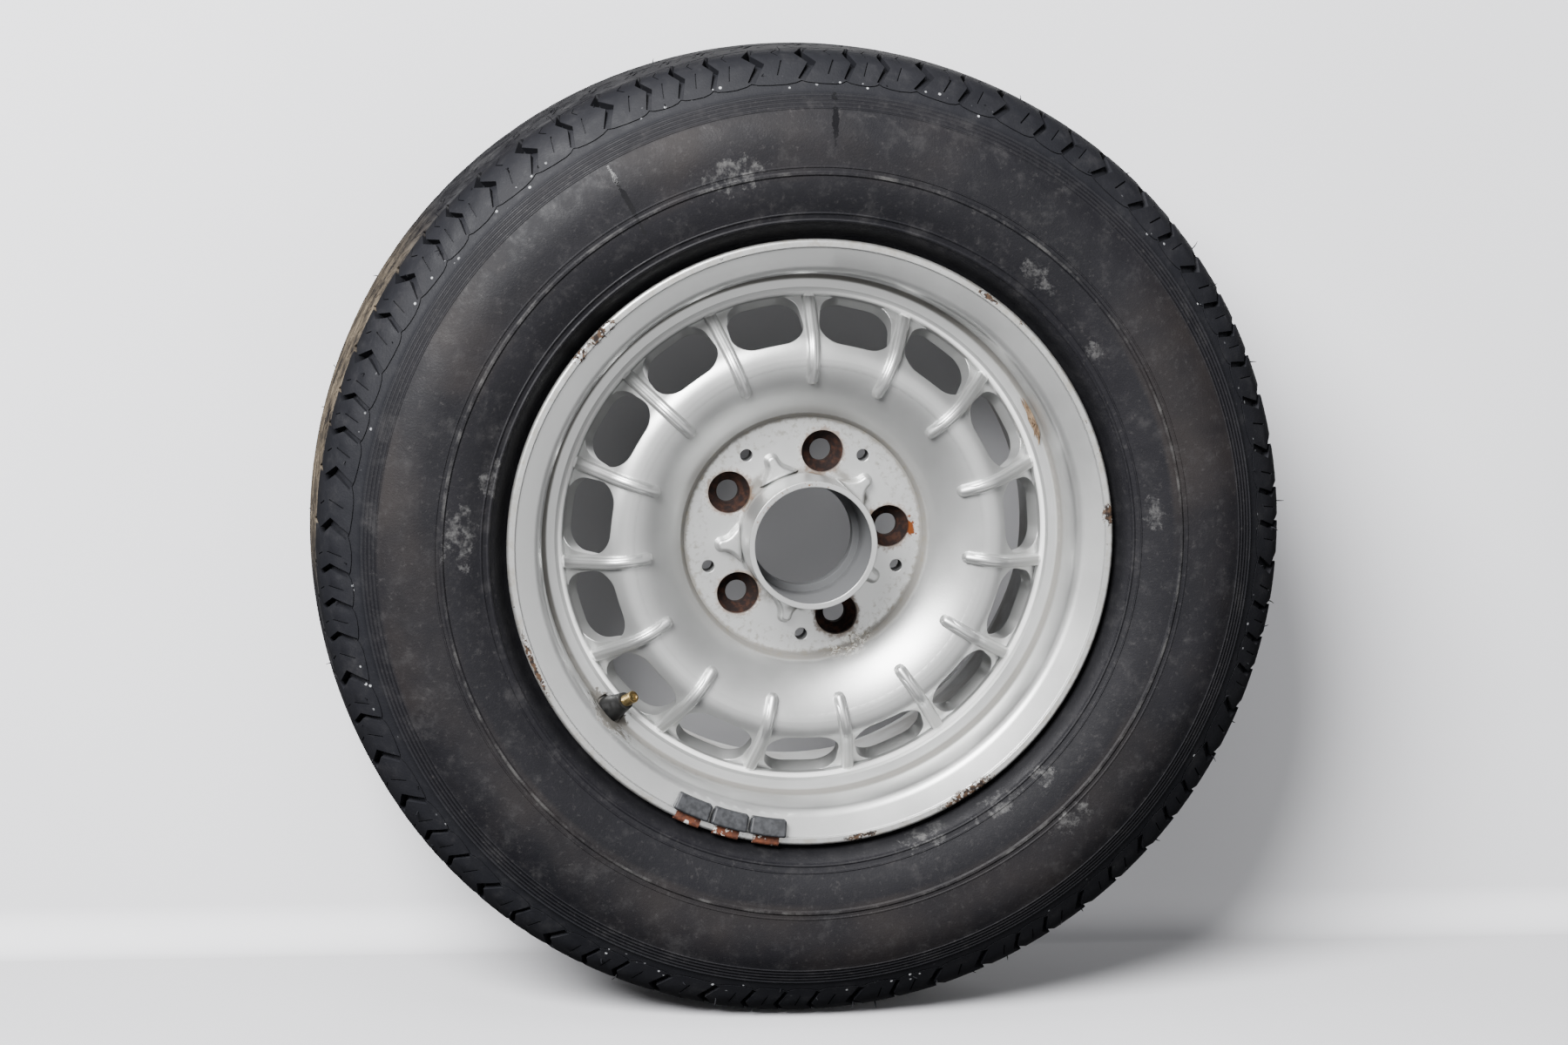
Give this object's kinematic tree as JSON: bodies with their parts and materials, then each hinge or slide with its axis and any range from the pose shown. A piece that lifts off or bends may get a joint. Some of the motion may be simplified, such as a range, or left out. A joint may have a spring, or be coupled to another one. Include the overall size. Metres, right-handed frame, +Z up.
{
  "type": "alloy wheel with tyre",
  "caption": "Silver light-alloy car wheel with a slotted, ribbed dished face and a mounted tubeless tyre, rubber valve and clip-on balance weights; it bolts to a hub.",
  "frame": {"origin": "centre of the wheel, on its axle line and midway between the two rim flanges", "axes": "+Z up, the wheel spins about +Y, and its outer face looks towards -Y"},
  "size_m": [0.6285, 0.2006, 0.6286],
  "materials": {
    "rim_paint": "worn silver paint",
    "tyre_rubber": "matt rubber",
    "valve_rubber": "matt rubber",
    "valve_brass": "dull brass",
    "core_brass": "dull brass",
    "seal_rubber": "matt rubber",
    "spring_steel": "bright wire",
    "weight_lead": "dull lead",
    "clip_rust": "rusty steel"
  },
  "bodies": {
    "wheel": {"rim": "rim_paint", "tyre": "tyre_rubber", "valve_rubber": "valve_rubber", "valve_stem": "valve_brass", "core_body": "core_brass", "core_gasket": "seal_rubber", "core_spring": "spring_steel", "balance_weight_1": "weight_lead", "balance_weight_2": "weight_lead", "balance_weight_3": "weight_lead", "weight_clip_1": "clip_rust", "weight_clip_2": "clip_rust", "weight_clip_3": "clip_rust"},
    "valve_pin": {"core_pin": "core_brass", "plunger_seal": "seal_rubber"}
  },
  "joints": [
    {"name": "valve_pin_press", "type": "slide", "parent": "wheel", "child": "valve_pin", "axis": [-0.4963, 0.7424, -0.45], "range_m": [0, 0.0012], "stiffness_N_per_m": 800, "springref_m": -0.002, "deforming": ["core_spring"]}
  ]
}
